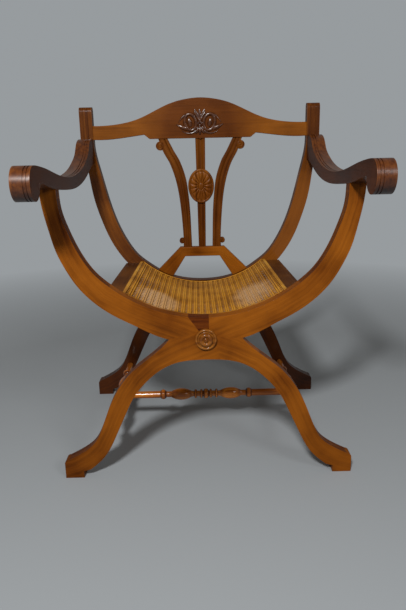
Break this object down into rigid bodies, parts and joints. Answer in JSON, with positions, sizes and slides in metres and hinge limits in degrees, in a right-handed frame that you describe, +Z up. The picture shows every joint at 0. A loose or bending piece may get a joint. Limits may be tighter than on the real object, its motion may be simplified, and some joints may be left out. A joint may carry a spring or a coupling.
{
  "type": "savonarola chair",
  "caption": "Curule armchair on two rigid X-frames with S-shaped scrolled arms, a carved crest over a lyre splat, and a dished cane seat.",
  "frame": {"origin": "on the floor at the middle of the chair's plan outline", "axes": "+Z up, the chair faces -Y, +X to the right when looking along +Y"},
  "size_m": [0.654, 0.6575, 0.853],
  "materials": {
    "frame_wood": "polished",
    "back_wood": "polished",
    "turned_wood": "polished",
    "seat_wood": "satin",
    "dowel_wood": "plain",
    "cane": "satin",
    "binding_cane": "satin"
  },
  "bodies": {
    "root": {"front_left_member": "frame_wood", "front_right_member": "frame_wood", "front_crossing_wedge": "frame_wood", "front_boss": "frame_wood", "rear_left_member": "frame_wood", "rear_right_member": "frame_wood", "rear_crossing_dowel": "dowel_wood", "left_arm": "frame_wood", "right_arm": "frame_wood", "arm_dowels": "dowel_wood", "crest_rail": "back_wood", "splat_left_rib": "back_wood", "splat_centre_rib": "back_wood", "splat_right_rib": "back_wood", "splat_patera": "back_wood", "splat_bridge": "back_wood", "bridge_dowels": "dowel_wood", "left_seat_rail": "seat_wood", "right_seat_rail": "seat_wood", "seat_rail_dowels": "dowel_wood", "front_seat_slip": "seat_wood", "rear_seat_slip": "seat_wood", "cane_seat": "cane", "cane_binding": "binding_cane", "left_side_stretcher": "turned_wood", "right_side_stretcher": "turned_wood", "cross_stretcher": "turned_wood"}
  },
  "joints": []
}
